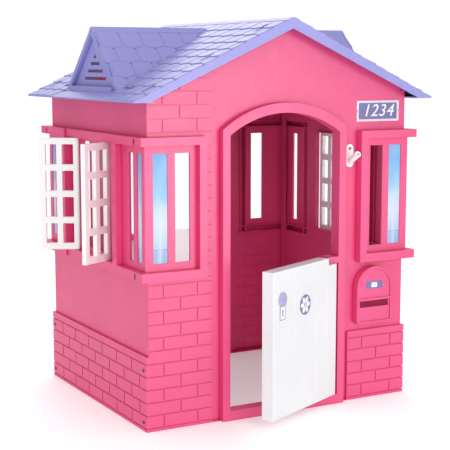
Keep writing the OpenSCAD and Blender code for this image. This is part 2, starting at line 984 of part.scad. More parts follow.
// Screws of the right roof half, each standing on a wall flange in its slot
module roof_screws() {
    color("silver") {
        for (x = gable_clip_x)
            for (y = [gable_clip_y, house_d - gable_clip_y])
                translate([x, y, ceiling(x)])
                    rotate([0, main_pitch, 0])
                        screw(10);
        for (y = [eave_clip_y, house_d - eave_clip_y])
            translate([eave_clip_x, y, ceiling(eave_clip_x)])
                rotate([0, main_pitch, 0])
                    screw(10);
    }
}

module roof_screws_left() {
    mirror([1, 0, 0])
        roof_screws();
}

module roof_screws_right() {
    roof_screws();
}

// ---------- stickers ----------

module sky_stickers(blind, half_l) {
    color("skyblue")
        both_sides()
            slab(blind_d - sticker_t, blind_d)
                rect(-half_l + blind[0], -half_l + blind[1], slot_z0, slot_z1);
}

module front_window_stickers() {
    sky_stickers(blind_slot, hw);
}

module back_window_stickers() {
    at_back()
        sky_stickers(blind_slot, hw);
}

module left_window_stickers() {
    at_left()
        sky_stickers(side_blind_slot, mid_y);
}

module right_window_stickers() {
    at_right()
        sky_stickers(side_blind_slot, mid_y);
}

module house_number_sticker() {
    color("slateblue")
        slab(plain_y - sticker_t, plain_y)
            rect(262, 419, 863, 925);
}

module mailbox_sticker() {
    color("slateblue")
        slab(-mail_proud + mail_rim_h - sticker_t, -mail_proud + mail_rim_h)
            rect(290, 352, 348, 372);
}

// Places a flat sticker on the front door's outer face
module on_front_door() {
    translate([hinge_x, hinge_y, 0])
        rotate([0, 0, front_door_open])
            slab(-door_t / 2 - sticker_t, -door_t / 2)
                children();
}

module door_knob_sticker() {
    color("slateblue")
        on_front_door() {
            translate([-door_len + 48, 377])
                circle(22);
            rect(-door_len + 33, -door_len + 63, 318, 360);
        }
}

module door_badge_sticker() {
    color("slateblue")
        on_front_door()
            translate([-door_len + 171, 342])
                circle(30);
}

front_wall();
back_wall();
left_wall();
right_wall();
roof_left();
roof_right();
front_door();
back_door();
left_front_shutter();
left_rear_shutter();
right_front_shutter();
right_rear_shutter();
flag_holder();
flag_holder_screw();
corner_screws_front_left();
corner_screws_front_right();
corner_screws_rear_left();
corner_screws_rear_right();
roof_screws_left();
roof_screws_right();
front_window_stickers();
back_window_stickers();
left_window_stickers();
right_window_stickers();
house_number_sticker();
mailbox_sticker();
door_knob_sticker();
door_badge_sticker();
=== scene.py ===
"""Plastic playhouse: the looks. The roof gets its shingles, the stickers get their
artwork and every surface gets its material. Moulded parts get bevelled edges, which come
out far narrower than asked: see rounded_copy."""
import json
import math

import bmesh
import bpy
from mathutils import Matrix, Vector

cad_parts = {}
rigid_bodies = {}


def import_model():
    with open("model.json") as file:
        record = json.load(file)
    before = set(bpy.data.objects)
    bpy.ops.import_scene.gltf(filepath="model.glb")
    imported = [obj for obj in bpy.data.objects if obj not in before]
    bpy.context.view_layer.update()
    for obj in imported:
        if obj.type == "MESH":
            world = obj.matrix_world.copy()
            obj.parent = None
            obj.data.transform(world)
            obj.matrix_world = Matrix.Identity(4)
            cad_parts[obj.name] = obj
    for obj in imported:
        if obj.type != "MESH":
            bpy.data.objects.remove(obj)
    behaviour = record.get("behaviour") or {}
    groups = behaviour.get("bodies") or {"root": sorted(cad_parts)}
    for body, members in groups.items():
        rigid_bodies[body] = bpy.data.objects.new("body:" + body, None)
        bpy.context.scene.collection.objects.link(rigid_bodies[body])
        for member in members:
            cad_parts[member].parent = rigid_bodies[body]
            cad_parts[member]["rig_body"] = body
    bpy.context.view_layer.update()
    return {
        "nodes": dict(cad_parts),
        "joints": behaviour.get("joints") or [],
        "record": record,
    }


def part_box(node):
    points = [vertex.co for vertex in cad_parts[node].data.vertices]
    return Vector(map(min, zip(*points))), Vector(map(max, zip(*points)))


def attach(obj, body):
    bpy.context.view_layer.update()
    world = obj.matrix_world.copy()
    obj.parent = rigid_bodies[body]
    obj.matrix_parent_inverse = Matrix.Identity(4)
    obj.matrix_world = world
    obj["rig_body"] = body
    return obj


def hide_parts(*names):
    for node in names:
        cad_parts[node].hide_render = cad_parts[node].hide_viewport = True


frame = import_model()

MM = 0.001


# ---------- camera, floor and light ----------

CAMERA_PLACE = (-1.836, -2.960, 1.038)
CAMERA_DIP = 7.74        # degrees below level
CAMERA_TURN = -28.97     # degrees from straight ahead, which is +Y
CAMERA_LENS = 95.2       # mm, on a sensor 36 mm wide
FLOOR_HALF = 12.0
FLOOR_GLOW = 0.25
BACKGROUND = 1.05        # what the camera sees
SKY_STRENGTH = (0.36, 1.15)    # at the horizon and below it, and overhead
FRONT_EASE = 0.75        # share of the sky's strength that is left straight ahead, at -Y
EASE_SPAN = (-1.0, 0.2)  # Y of the directions between which that share rises to 1


def link_object(name, data):
    """A new object in the scene."""
    thing = bpy.data.objects.new(name, data)
    bpy.context.scene.collection.objects.link(thing)
    return thing


def add_camera():
    data = bpy.data.cameras.new("camera")
    data.sensor_width = 36.0
    data.lens = CAMERA_LENS
    camera = link_object("camera", data)
    camera.location = CAMERA_PLACE
    camera.rotation_euler = (math.radians(90.0 - CAMERA_DIP), 0.0, math.radians(CAMERA_TURN))
    bpy.context.scene.camera = camera


def add_light(data, place, target):
    light = link_object(data.name, data)
    light.location = place
    light.visible_camera = False
    aim = Vector(target) - Vector(place)
    light.rotation_euler = aim.to_track_quat("-Z", "Y").to_euler()
    return light


def add_panel(name, place, target, size, watts):
    data = bpy.data.lights.new(name, "AREA")
    data.shape = "RECTANGLE"
    data.size, data.size_y = size
    data.energy = watts
    return add_light(data, place, target)


def add_door_light():
    """Soft spot through the front doorway that reaches the inside of the back door."""
    data = bpy.data.lights.new("door_light", "SPOT")
    data.energy = 20.0
    data.spot_size = math.radians(26.0)
    data.spot_blend = 0.8
    data.shadow_soft_size = 0.06
    add_light(data, (-0.05, -0.03, 0.80), (0.0, 0.73, 0.36))


def add_lights():
    add_panel("key", (0.7, -3.4, 1.1), (0.0, 0.0, 0.65), (1.6, 1.6), 16.0)
    add_panel("front", (-0.7, -3.5, 1.9), (0.0, 0.3, 0.5), (1.4, 1.0), 20.0)
    add_panel("fill", (-2.4, -2.7, 1.2), (-0.3, 0.1, 0.6), (2.0, 2.0), 22.0)
    add_door_light()
    # only seen as a reflection, as a panel beside the camera is
    gloss = add_panel("gloss", (1.1, -3.3, 0.7), (-0.2, 0.0, 0.8), (1.4, 1.4), 64.0)
    gloss.visible_diffuse = False
    add_panel("rim", (0.9, 3.2, 2.6), (-0.1, 0.3, 1.0), (2.2, 1.2), 30.0)


def add_floor():
    mesh = bpy.data.meshes.new("floor")
    half = FLOOR_HALF
    corners = [(-half, -half, 0), (half, -half, 0), (half, half, 0), (-half, half, 0)]
    mesh.from_pydata(corners, [], [(0, 1, 2, 3)])
    material = bpy.data.materials.new("floor")
    material.use_nodes = True
    sockets = material.node_tree.nodes["Principled BSDF"].inputs
    sockets["Base Color"].default_value = (0.93, 0.93, 0.93, 1.0)
    sockets["Roughness"].default_value = 0.6
    sockets["Emission Color"].default_value = (1.0, 1.0, 1.0, 1.0)
    sockets["Emission Strength"].default_value = FLOOR_GLOW
    mesh.materials.append(material)
    floor = link_object("floor", mesh)


def map_range(tree, source, span, result):
    node = tree.nodes.new("ShaderNodeMapRange")
    node.inputs["From Min"].default_value, node.inputs["From Max"].default_value = span
    node.inputs["To Min"].default_value, node.inputs["To Max"].default_value = result
    tree.links.new(source, node.inputs["Value"])
    return node.outputs["Result"]


def add_world():
    """White cove: what the camera sees is plain white, and the light that falls on the
    house is strong overhead, softer from the sides and softest from the front."""
    world = bpy.data.worlds.new("studio")
    world.use_nodes = True
    tree = world.node_tree
    coords = tree.nodes.new("ShaderNodeTexCoord")
    axes = tree.nodes.new("ShaderNodeSeparateXYZ")
    tree.links.new(coords.outputs["Generated"], axes.inputs["Vector"])
    both = tree.nodes.new("ShaderNodeMath")
    both.operation = "MULTIPLY"
    tree.links.new(map_range(tree, axes.outputs["Z"], (0.0, 1.0), SKY_STRENGTH), both.inputs[0])
    tree.links.new(map_range(tree, axes.outputs["Y"], EASE_SPAN, (FRONT_EASE, 1.0)),
                   both.inputs[1])
    path = tree.nodes.new("ShaderNodeLightPath")
    pick = tree.nodes.new("ShaderNodeMix")
    pick.inputs["B"].default_value = BACKGROUND
    tree.links.new(path.outputs["Is Camera Ray"], pick.inputs["Factor"])
    tree.links.new(both.outputs["Value"], pick.inputs["A"])
    background = tree.nodes["Background"]
    background.inputs["Color"].default_value = (1.0, 1.0, 1.0, 1.0)
    tree.links.new(pick.outputs["Result"], background.inputs["Strength"])
    bpy.context.scene.world = world
    bpy.context.scene.view_settings.view_transform = "Standard"


# ---------- materials ----------

class Nodes:
    """Small helper that wires a material's node tree."""

    def __init__(self, name):
        self.material = bpy.data.materials.new(name)
        self.material.use_nodes = True
        self.tree = self.material.node_tree
        self.shader = self.tree.nodes["Principled BSDF"]
        coords = self.tree.nodes.new("ShaderNodeTexCoord")
        self.place = coords.outputs["Object"]
        self.axes = None

    def add(self, kind, **values):
        node = self.tree.nodes.new(kind)
        for key, value in values.items():
            if key in node.inputs:
                node.inputs[key].default_value = value
            else:
                setattr(node, key, value)
        return node

    def link(self, a, b):
        self.tree.links.new(a, b)

    def axis(self, index):
        if self.axes is None:
            self.axes = self.add("ShaderNodeSeparateXYZ")
            self.link(self.place, self.axes.inputs["Vector"])
        return self.axes.outputs[index]

    def noise(self, scale, detail=3.0, roughness=0.5, stretch=None):
        node = self.add("ShaderNodeTexNoise", Scale=scale, Detail=detail, Roughness=roughness)
        if stretch:
            mapping = self.add("ShaderNodeMapping", Scale=stretch)
            self.link(self.place, mapping.inputs["Vector"])
            self.link(mapping.outputs["Vector"], node.inputs["Vector"])
        else:
            self.link(self.place, node.inputs["Vector"])
        return node.outputs["Fac"]

    def math(self, operation, a, b=None):
        node = self.add("ShaderNodeMath", operation=operation)
        for socket, value in zip(node.inputs, (a, b)):
            if value is None:
                continue
            if isinstance(value, (int, float)):
                socket.default_value = value
            else:
                self.link(value, socket)
        return node.outputs["Value"]

    def ramp(self, value, stops):
        node = self.add("ShaderNodeValToRGB")
        elements = node.color_ramp.elements
        while len(elements) < len(stops):
            elements.new(0.5)
        for element, (position, colour) in zip(elements, stops):
            element.position = position
            element.color = (*colour, 1.0)
        self.link(value, node.inputs["Fac"])
        return node.outputs["Color"]

    def mix(self, factor, a, b):
        """Mix of two colours; inputs 6 and 7 are the node's colour sockets."""
        node = self.add("ShaderNodeMix", data_type="RGBA")
        self.link(factor, node.inputs[0])
        for socket, value in ((node.inputs[6], a), (node.inputs[7], b)):
            if isinstance(value, tuple):
                socket.default_value = (*value, 1.0)
            else:
                self.link(value, socket)
        return node.outputs[2]

    def span(self, value, low, high, start=0.0, end=1.0):
        """The value's range start..end turned into low..high, and held there outside it."""
        return map_range(self.tree, value, (start, end), (low, high))

    def bump(self, height, distance, after=None):
        node = self.add("ShaderNodeBump", Distance=distance, Strength=1.0)
        self.link(height, node.inputs["Height"])
        if after:
            self.link(after, node.inputs["Normal"])
        return node.outputs["Normal"]


def shade(colour, factor):
    return tuple(min(1.0, c * factor) for c in colour)


def moulded_plastic(name, colour, roughness, waves=0.0006, crease_shade_colour=None, shine=0.5):
    """Moulded polyethylene: soft colour drift, uneven gloss and a fine pebbled skin.
    waves is the depth of its slow unevenness, crease_shade_colour the painted shade that
    ambient occlusion blends into grooves and inner corners, and shine the shader's specular level."""
    m = Nodes(name)
    tint = m.ramp(m.noise(4.0, 2.0), [(0.3, shade(colour, 0.96)), (0.7, shade(colour, 1.04))])
    # painted shade: ambient occlusion darkens grooves and inner corners towards the crease colour
    if crease_shade_colour:
        crease_shade_mask = m.add("ShaderNodeAmbientOcclusion", Distance=CREASE_SHADE_REACH, samples=6)
        tint = m.mix(m.span(crease_shade_mask.outputs["AO"], 1.0, 0.0, 0.35, 0.85), tint, crease_shade_colour)
    m.link(tint, m.shader.inputs["Base Color"])
    gloss = m.span(m.noise(38.0, 4.0), roughness - 0.06, roughness + 0.06)
    m.link(gloss, m.shader.inputs["Roughness"])
    soft = m.bump(m.noise(26.0, 2.0), waves)
    pebbles = m.bump(m.noise(900.0, 2.0), PEBBLE_DEPTH, after=soft)
    m.link(pebbles, m.shader.inputs["Normal"])
    m.shader.inputs["Specular IOR Level"].default_value = shine
    return m.material


def brushed_steel(name, colour):
    """Plated screw: streaked finish with uneven shine."""
    m = Nodes(name)
    streaks = m.noise(1800.0, 3.0, stretch=(1.0, 1.0, 0.15))
    m.link(m.ramp(streaks, [(0.25, shade(colour, 0.7)), (0.75, shade(colour, 1.2))]),
           m.shader.inputs["Base Color"])
    m.link(m.span(streaks, 0.3, 0.5), m.shader.inputs["Roughness"])
    m.link(m.bump(streaks, 0.00003), m.shader.inputs["Normal"])
    m.shader.inputs["Metallic"].default_value = 1.0
    return m.material


def sky_film(name, axis, wall_middle, reach):
    """Printed window film: blue sky over a pale horizon, with a thin pane line and a
    reflection down it. The axis, 0 or 1, runs along the wall, and reach is the distance
    from the wall's middle to the middle of each film."""
    m = Nodes(name)
    rise = m.span(m.axis(2), 0.0, 1.0, FILM_Z[0], FILM_Z[1])
    sky = m.ramp(rise, SKY_STOPS)
    from_middle = m.math("ABSOLUTE", m.math("SUBTRACT", m.axis(axis), wall_middle))
    offset = m.math("SUBTRACT", from_middle, reach)
    streak = m.math("MULTIPLY", m.span(m.math("ABSOLUTE", offset), 1.0, 0.0, 0.0, 0.009),
                    m.span(rise, 0.5, 0.0, 0.1, 0.6))
    cloud = m.span(m.noise(30.0, 3.0, stretch=(1.0, 1.0, 0.4)), 0.0, 0.3, 0.45, 0.75)
    tint = m.mix(streak, m.mix(cloud, sky, CLOUD), STREAK)
    m.link(tint, m.shader.inputs["Base Color"])
    m.link(m.span(m.noise(60.0), 0.40, 0.50), m.shader.inputs["Roughness"])
    m.link(m.bump(m.noise(240.0, 2.0), 0.00004), m.shader.inputs["Normal"])
    m.shader.inputs["Specular IOR Level"].default_value = 0.25
    return m.material


def printed_film(name, colour, second, scale):
    """Printed vinyl with a hatched two-tone ground."""
    m = Nodes(name)
    wave = m.add("ShaderNodeTexWave", Scale=scale, Distortion=3.0, Detail=2.0)
    wave.bands_direction = "DIAGONAL"
    m.link(m.place, wave.inputs["Vector"])
    m.link(m.ramp(wave.outputs["Fac"], [(0.35, colour), (0.65, second)]),
           m.shader.inputs["Base Color"])
    m.link(m.span(m.noise(80.0), 0.25, 0.35), m.shader.inputs["Roughness"])
    m.link(m.bump(m.noise(300.0, 2.0), 0.00004), m.shader.inputs["Normal"])
    return m.material


MID_Y = (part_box("front_wall")[0][1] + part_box("back_wall")[1][1]) / 2
FILM_Z = [corner[2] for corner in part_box("front_window_stickers")]
FRONT_FILM_REACH = 402.5 * MM
SIDE_FILM_REACH = 329.0 * MM

# reach of the ambient occlusion that paints shade into grooves and inner corners
CREASE_SHADE_REACH = 7 * MM
PEBBLE_DEPTH = 0.12 * MM
PINK = (0.77, 0.067, 0.222)
# painted shade of the pink walls' grooves and inner corners
PINK_CREASE_SHADE = (0.62, 0.003, 0.075)
LAVENDER = (0.31, 0.305, 0.665)
# painted shade of the roof's grooves and inner corners
LAVENDER_CREASE_SHADE = (0.13, 0.125, 0.42)
# a darker copy of WHITE for the half doors: painted shade against the key light that falls full on
# them
DOOR_WHITE_SHADED = (0.79, 0.81, 0.83)
WHITE = (0.95, 0.96, 0.98)
# much darker than plated steel is: painted shade on the screws
STEEL_SHADED = (0.13, 0.12, 0.14)
CLOUD = (0.66, 0.72, 0.84)
STREAK = (0.74, 0.78, 0.86)
# from the film's lower end to its upper end: ground, pane line, haze, sky
SKY_STOPS = [(0.0, (0.26, 0.44, 0.72)), (0.12, (0.34, 0.50, 0.76)), (0.125, (0.20, 0.30, 0.46)),
             (0.132, (0.42, 0.57, 0.80)), (0.34, (0.60, 0.68, 0.84)), (0.50, (0.50, 0.66, 0.84)),
             (0.60, (0.28, 0.54, 0.80)), (1.0, (0.16, 0.40, 0.74))]

materials = {
    # the wall and roof plastics get painted shade in their grooves and inner corners
    "wall": moulded_plastic("wall_plastic", PINK, 0.42, crease_shade_colour=PINK_CREASE_SHADE),
    "roof": moulded_plastic("roof_plastic", LAVENDER, 0.42, 0.0004, LAVENDER_CREASE_SHADE, shine=0.3),
    "white": moulded_plastic("white_plastic", WHITE, 0.35),
    "screw": brushed_steel("screw_steel_shaded", STEEL_SHADED),
    "sky_sticker": sky_film("sky_film_gable", 0, 0.0, FRONT_FILM_REACH),
    "purple_sticker": printed_film("purple_film", (0.10, 0.09, 0.27), (0.24, 0.23, 0.46), 130.0),
}
# painted shade: the half doors' white plastic is a darker copy of the shutters' white
door_white_shaded = moulded_plastic("door_plastic_shaded", DOOR_WHITE_SHADED, 0.35)
side_film = sky_film("sky_film_side", 1, MID_Y, SIDE_FILM_REACH)
print_white = printed_film("print_white", (0.80, 0.80, 0.84), (0.90, 0.90, 0.92), 60.0)
print_silver = printed_film("print_silver", (0.42, 0.42, 0.50), (0.62, 0.62, 0.70), 240.0)
print_lilac = printed_film("print_lilac", (0.30, 0.28, 0.62), (0.44, 0.42, 0.76), 300.0)
print_dark = printed_film("print_dark", (0.05, 0.045, 0.10), (0.10, 0.09, 0.18), 200.0)
node_slots = {entry["node"]: entry["material_slot"] for entry in frame["record"]["subparts"]}


# ---------- moulded copies of the CAD shells ----------

WELD = 0.02 * MM
SPECK = 0.001 * MM


def bevel_edges(work, edges, width, segments):
    bmesh.ops.bevel(work, geom=edges, offset=width, offset_type="OFFSET", segments=segments,
                    profile=0.5, affect="EDGES", clamp_overlap=True, loop_slide=True,
                    miter_outer="SHARP", miter_inner="SHARP")


def sharp_edges(work, angle):
    return [e for e in work.edges
            if len(e.link_faces) == 2 and e.calc_face_angle(0.0) > math.radians(angle)]


def mesh_from(work, name):
    """The end of a bmesh, as a new mesh."""
    mesh = bpy.data.meshes.new(name)
    work.to_mesh(mesh)
    work.free()
    return mesh


def bridge(work, rows):
    """Quads between each ring of vertices and the next; all have the same number."""
    count = len(rows[0])
    faces = []
    for low, high in zip(rows, rows[1:]):
        for i in range(count):
            j = (i + 1) % count
            faces.append(work.faces.new((low[i], low[j], high[j], high[i])))
    return faces


def finish_piece(piece, body, slot):
    for face in piece.data.polygons:
        face.use_smooth = True
    weigh = piece.modifiers.new("weigh", "WEIGHTED_NORMAL")
    weigh.keep_sharp = True
    weigh.weight = 100
    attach(piece, body)


def rounded_copy(node, width, wide=None):
    """A copy of a CAD node with bevelled edges. wide gives a test for the edges with a
    width of their own, and that width; their facets aren't bevelled once more.

    Both widths are upper limits. clamp_overlap narrows a bevel over the whole piece until
    it fits the tightest edge: to between 0.06 and 0.2 mm for the wide edges of the walls,
    below 0.05 mm on the roof, below 0.01 mm for the other edges of the side walls and to
    nothing for those of the front and back walls."""
    source = frame["nodes"][node]
    mesh = source.data.copy()
    work = bmesh.new()
    work.from_mesh(mesh)
    bmesh.ops.remove_doubles(work, verts=work.verts, dist=WELD)
    bmesh.ops.dissolve_limit(work, angle_limit=math.radians(0.5), verts=work.verts,
                             edges=work.edges)
    if wide:
        test, radius = wide
        bevel_edges(work, [e for e in sharp_edges(work, 40.0) if test(e)], radius, 3)
    bevel_edges(work, sharp_edges(work, 31.0 if wide else 28.0), width, 2)
    bmesh.ops.dissolve_degenerate(work, edges=work.edges, dist=SPECK)
    for edge in sharp_edges(work, 50.0):
        edge.smooth = False
    work.to_mesh(mesh)
    work.free()
    piece = link_object(node + "_shell", mesh)
    mesh.materials.clear()
    mesh.materials.append(materials[node_slots[node]])
    finish_piece(piece, source["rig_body"], node_slots[node])
    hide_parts(node)
    return piece


# ---------- shingles ----------

RIDGE_Z = 1171 * MM        # where the planes of the two slopes would meet
SLOPE = math.tan(math.radians(25.0))
CAP_HW = 24 * MM           # half width of the ridge cap
EAVE_X = 503 * MM
COURSES = 11
COURSE = (EAVE_X - CAP_HW) / COURSES
TILE_T = 3 * MM
DORMER_Z = 1146 * MM
DORMER_SLOPE = 0.96
DORMER_X = 452 * MM        # the dormer's verge
DORMER_JOINT = 443 * MM    # between two shingles of its first course
DORMER_CAP = 14.6 * MM
DORMER_COURSE = 44.8 * MM
DORMER_COURSES = 5
# the valley in plan, with u from the dormer's middle and w from the ridge: the dormer
# lies where u <= VALLEY_FALL * w - VALLEY_START
VALLEY_FALL = SLOPE / DORMER_SLOPE
VALLEY_START = (RIDGE_Z - DORMER_Z) / DORMER_SLOPE
SLOPE_INTO_VALLEY = 5.0 * MM
DORMER_INTO_VALLEY = 4.0 * MM

SHINGLE_W = 69 * MM
SHINGLE_GAP = 5.0 * MM
SHINGLE_RAISE = 2.0 * MM
SHINGLE_ROUND = 2.0 * MM
SHINGLE_POINT = 6.5 * MM
SHINGLE_INSET = 0.8 * MM   # from the roof's outline
SHINGLE_FOOT = 0.3 * MM    # past the foot of its course
SHINGLE_SINK = 1.5 * MM    # into the roof below it
SLOPE_LAP = 1.5 * MM       # under the course above it
DORMER_LAP = 1.0 * MM
SMALLEST_STEP = 0.25 * MM
THINNEST = 1.6 * MM        # area over length round of a scrap that isn't laid
CORNER_CUT = {1.0: 4.2 * MM, 0.95: 1.3 * MM}   # by share of the half width
BLUNT = 0.86               # height of the point that is left

# the roof's fastening slots in mm: middle, and half length and half width
VERGE_SLOT_X = (72, 250, 430)
VERGE_SLOT_IN = 9
VERGE_SLOT_HALF = (21, 6)
EAVE_SLOT_X = 432
EAVE_SLOT_IN = 134
EAVE_SLOT_HALF = (6, 30)
SLOT_MARGIN = 0.8


def clipped(outline, a, b, c):
    """The part of a convex outline on the side a*u + b*w <= c."""
    result = []
    for here, after in zip(outline, outline[1:] + outline[:1]):
        d0 = a * here[0] + b * here[1] - c
        d1 = a * after[0] + b * after[1] - c
        if d0 <= 0:
            result.append(here)
        if (d0 < 0 < d1) or (d1 < 0 < d0):
            t = d0 / (d0 - d1)
            result.append((here[0] + t * (after[0] - here[0]), here[1] + t * (after[1] - here[1])))
    return result


def outline_measure(outline):
    """Twice the signed area, and the length round it."""
    area = 0.0
    length = 0.0
    for (u0, w0), (u1, w1) in zip(outline, outline[1:] + outline[:1]):
        area += u0 * w1 - u1 * w0
        length += math.hypot(u1 - u0, w1 - w0)
    return area, length


def inset(outline, distance):
    """The outline moved inwards, with mitred corners."""
    side = 1.0 if outline_measure(outline)[0] > 0 else -1.0
    count = len(outline)
    result = []
    for i, (u, w) in enumerate(outline):
        normals = []
        for (a, b) in ((outline[i - 1], outline[i]), (outline[i], outline[(i + 1) % count])):
            du, dw = b[0] - a[0], b[1] - a[1]
            length = math.hypot(du, dw) or 1.0
            normals.append((-dw / length * side, du / length * side))
        nu, nw = normals[0][0] + normals[1][0], normals[0][1] + normals[1][1]
        scale = 2.0 * distance / max(nu * nu + nw * nw, 0.8)
        result.append((u + nu * scale, w + nw * scale))
    return result


def tidy_outline(outline):
    """The outline without points that nearly coincide."""
    result = []
    for point in outline:
        if not result or math.dist(point, result[-1]) > SMALLEST_STEP:
            result.append(point)
    while len(result) > 2 and math.dist(result[0], result[-1]) <= SMALLEST_STEP:
        result.pop()
    return result


def shingle_outline(foot, head, middle, point):
    """One shingle in plan: u runs down the slope and w along it. Its lower edge comes
    to a blunt point in the middle and its corners are rounded off."""
    half = (SHINGLE_W - SHINGLE_GAP) / 2
    lower = []
    for t in (-1.0, -0.95, -0.84, -0.5, -0.1, 0.1, 0.5, 0.84, 0.95, 1.0):
        s = abs(t)
        reach = point * (1.0 - s) if s > 0.2 else point * BLUNT
        lower.append((foot + SHINGLE_FOOT + reach - CORNER_CUT.get(s, 0.0), middle + t * half))
    return lower + [(head, middle + half), (head, middle - half)]


def add_shingle(work, outline, top, bottom, place):
    """Closed solid over an outline in plan, with a rounded upper edge. top and bottom
    give its heights at u, and place turns u, w and a height into a point."""
    outline = tidy_outline(outline)
    if len(outline) < 3:
        return
    area, length = outline_measure(outline)
    if abs(area) / 2 / length < THINNEST:
        return
    r = SHINGLE_ROUND
    rings = ((outline, bottom),
             (outline, lambda u: top(u) - r),
             (inset(outline, 0.3 * r), lambda u: top(u) - 0.3 * r),
             (inset(outline, r), top))
    rows = []
    for points, height in rings:
        rows.append([work.verts.new(place(u, w, height(u))) for u, w in points])
    faces = bridge(work, rows)
    faces.append(work.faces.new(list(reversed(rows[0]))))
    faces.append(work.faces.new(rows[-1]))
    bmesh.ops.recalc_face_normals(work, faces=faces)


def rows_of(low, high, phase):
    """Middles of the shingles that cover low..high, starting at the phase."""
    first = math.floor((low - phase) / SHINGLE_W) * SHINGLE_W + phase
    middle = first + SHINGLE_W / 2
    while middle - SHINGLE_W / 2 < high:
        yield middle
        middle += SHINGLE_W


def lay_main_slope(work, side, parity, y0, y1):
    """Every second course of a roof half between the verges y0 and y1."""
    for course in range(parity, COURSES, 2):
        foot = EAVE_X - course * COURSE
        head = foot - COURSE - SLOPE_LAP
        start = RIDGE_Z - SLOPE * foot

        def top(u):
            return start + (foot - u) * (SLOPE - TILE_T / COURSE) + SHINGLE_RAISE

        def bottom(u):
            return RIDGE_Z - SLOPE * u - TILE_T - SHINGLE_SINK

        def place(u, w, z):
            return (side * u, w, z)

        phase = MID_Y + (0.0 if course % 2 == 0 else SHINGLE_W / 2)
        for middle in rows_of(y0, y1, phase):
            outline = shingle_outline(foot, head, middle, 0.0 if course == 0 else SHINGLE_POINT)
            outline = clipped(outline, 1.0, 0.0, EAVE_X - SHINGLE_INSET)
            outline = clipped(outline, 0.0, 1.0, y1 - SHINGLE_INSET)
            outline = clipped(outline, 0.0, -1.0, -y0 - SHINGLE_INSET)
            toward = 1.0 if middle > MID_Y else -1.0
            outline = clipped(outline, VALLEY_FALL, -toward,
                              VALLEY_START - toward * MID_Y + SLOPE_INTO_VALLEY)
            add_shingle(work, outline, top, bottom, place)


def lay_dormer(work, side, parity):
    """Every second course of both slopes of a dormer."""
    for course in range(1 + parity, DORMER_COURSES + 1, 2):
        foot = DORMER_CAP + course * DORMER_COURSE
        head = foot - DORMER_COURSE - DORMER_LAP
        start = DORMER_Z - DORMER_SLOPE * foot

        def top(u):
            return start + (foot - u) * (DORMER_SLOPE - TILE_T / DORMER_COURSE) + SHINGLE_RAISE

        def bottom(u):
            return DORMER_Z - DORMER_SLOPE * u - TILE_T - SHINGLE_SINK

        phase = DORMER_JOINT + (0.0 if course % 2 == 1 else SHINGLE_W / 2)
        for toward in (-1.0, 1.0):
            def place(u, w, z, toward=toward):
                return (side * w, MID_Y + toward * u, z)

            for middle in rows_of(CAP_HW, DORMER_X, phase):
                outline = shingle_outline(foot, head, middle, SHINGLE_POINT)
                outline = clipped(outline, 0.0, 1.0, DORMER_X - SHINGLE_INSET)
                outline = clipped(outline, 1.0, -VALLEY_FALL, DORMER_INTO_VALLEY - VALLEY_START)
                add_shingle(work, outline, top, bottom, place)


def slot_cutter(side):
    """Boxes over the roof's fastening slots, which the shingles leave free."""
    work = bmesh.new()
    depth = 2 * MID_Y / MM
    spots = [(x, y, *VERGE_SLOT_HALF) for x in VERGE_SLOT_X
             for y in (VERGE_SLOT_IN, depth - VERGE_SLOT_IN)]
    spots += [(EAVE_SLOT_X, y, *EAVE_SLOT_HALF) for y in (EAVE_SLOT_IN, depth - EAVE_SLOT_IN)]
    for x, y, half_x, half_y in spots:
        size = (2 * (half_x + SLOT_MARGIN) * MM, 2 * (half_y + SLOT_MARGIN) * MM, 0.4, 1.0)
        matrix = Matrix.Translation((side * x * MM, y * MM, 1.05)) @ Matrix.Diagonal(size)
        bmesh.ops.create_cube(work, size=1.0, matrix=matrix)
    return link_object("slot_cutter", mesh_from(work, "slot_cutter"))


def add_shingles(node, side):
    """All shingles of a roof half, as one piece. Neighbouring courses overlap, so that
    the slots are cut through every second course at a time."""
    lo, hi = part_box(node)
    cutter = slot_cutter(side)
    parts = []
    for parity in (0, 1):
        work = bmesh.new()
        lay_main_slope(work, side, parity, lo[1], hi[1])
        rows = link_object("rows", mesh_from(work, "rows"))
        cut = rows.modifiers.new("slots", "BOOLEAN")
        cut.operation = "DIFFERENCE"
        cut.solver = "EXACT"
        cut.object = cutter
        parts.append(rows)
        work = bmesh.new()
        lay_dormer(work, side, parity)
        parts.append(link_object("rows", mesh_from(work, "rows")))
    bpy.context.view_layer.update()
    graph = bpy.context.evaluated_depsgraph_get()
    joined = bmesh.new()
    for rows in parts:
        mesh = bpy.data.meshes.new_from_object(rows.evaluated_get(graph))
        joined.from_mesh(mesh)
        bpy.data.meshes.remove(mesh)
    bmesh.ops.dissolve_degenerate(joined, edges=joined.edges, dist=SPECK)
    for rows in parts + [cutter]:
        bpy.data.objects.remove(rows)
    piece = link_object(node + "_shingles", mesh_from(joined, node + "_shingles"))
    piece.data.materials.append(materials["roof"])
    finish_piece(piece, frame["nodes"][node]["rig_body"], "roof")


# ---------- printed and raised sticker artwork ----------

def add_print(name, work, material, body, matrix=None, smooth=False):
    """A piece of artwork that rides on a body."""
    if matrix is not None:
        bmesh.ops.transform(work, matrix=matrix, verts=work.verts)
    bmesh.ops.recalc_face_normals(work, faces=work.faces)
    piece = link_object(name, mesh_from(work, name))
    piece.data.materials.append(material)
    for face in piece.data.polygons:
        face.use_smooth = smooth
    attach(piece, body)


def add_prism(work, outline, back, front, ease=0.0):
    """Flat shape in x and z between two y planes; its front edge is eased."""
    rings = [(outline, back), (outline, front + ease)]
    if ease:
        rings.append((inset(outline, ease), front))
    rows = [[work.verts.new((x, y, z)) for x, z in points] for points, y in rings]
    bridge(work, rows)
    work.faces.new(rows[0])
    work.faces.new(list(reversed(rows[-1])))


